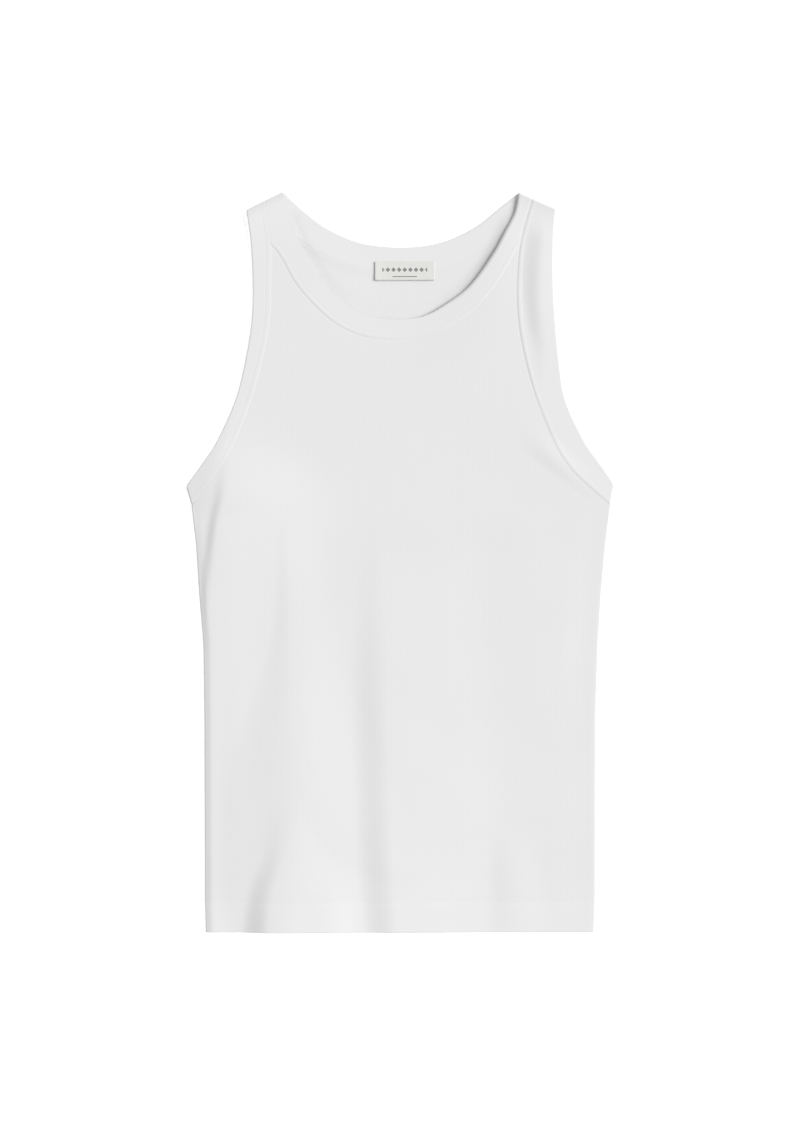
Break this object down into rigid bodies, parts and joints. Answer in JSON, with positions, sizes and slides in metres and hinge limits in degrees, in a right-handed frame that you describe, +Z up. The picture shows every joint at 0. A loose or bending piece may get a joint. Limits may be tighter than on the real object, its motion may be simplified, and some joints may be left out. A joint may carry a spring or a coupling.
{
  "type": "tank top",
  "caption": "Sleeveless white rib-knit top laid flat on its back, with a scooped front neck, bound neck and armholes, and a turned-up hem.",
  "frame": {"origin": "under the middle of the top, on the surface that it rests on", "axes": "+Y from the hem to the neck, +X to the viewer's right when the front is seen, +Z up from the back to the front layer"},
  "size_m": [0.3501, 0.606, 0.0105],
  "materials": {
    "rib_knit": "fine vertical cotton rib, matt",
    "rib_binding": "fine cotton rib running across the binding, matt",
    "woven_label": "close satin weave, slightly warm white"
  },
  "bodies": {
    "root": {"front": "rib_knit", "back": "rib_knit", "neckband": "rib_binding", "armband_left": "rib_binding", "armband_right": "rib_binding", "label": "woven_label"}
  },
  "joints": []
}
